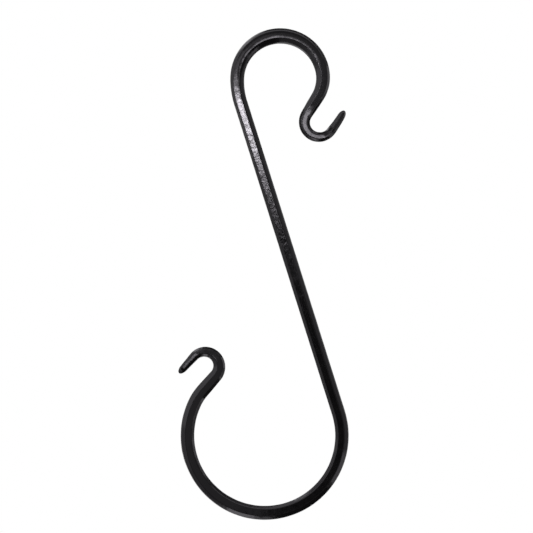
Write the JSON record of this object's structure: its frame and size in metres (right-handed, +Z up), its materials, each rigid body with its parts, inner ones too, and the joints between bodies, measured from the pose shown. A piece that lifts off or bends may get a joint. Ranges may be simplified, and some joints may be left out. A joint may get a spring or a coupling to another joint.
{
  "type": "tree branch hook",
  "caption": "S-shaped hook forged from one eight-sided bar: small loop above, leaning straight shank, large loop below, and curled drawn-out tips, for hanging things from a branch.",
  "frame": {"origin": "point inside the crown of the upper loop that bears on the branch", "axes": "+Z up as the hook hangs, the hook lies in the XZ plane with its upper mouth towards +X, Y across the bar"},
  "size_m": [0.1057, 0.0084, 0.3051],
  "materials": {
    "black_finish": "satin black over hand-forged steel"
  },
  "bodies": {
    "root": {"hook": "black_finish"}
  },
  "joints": []
}
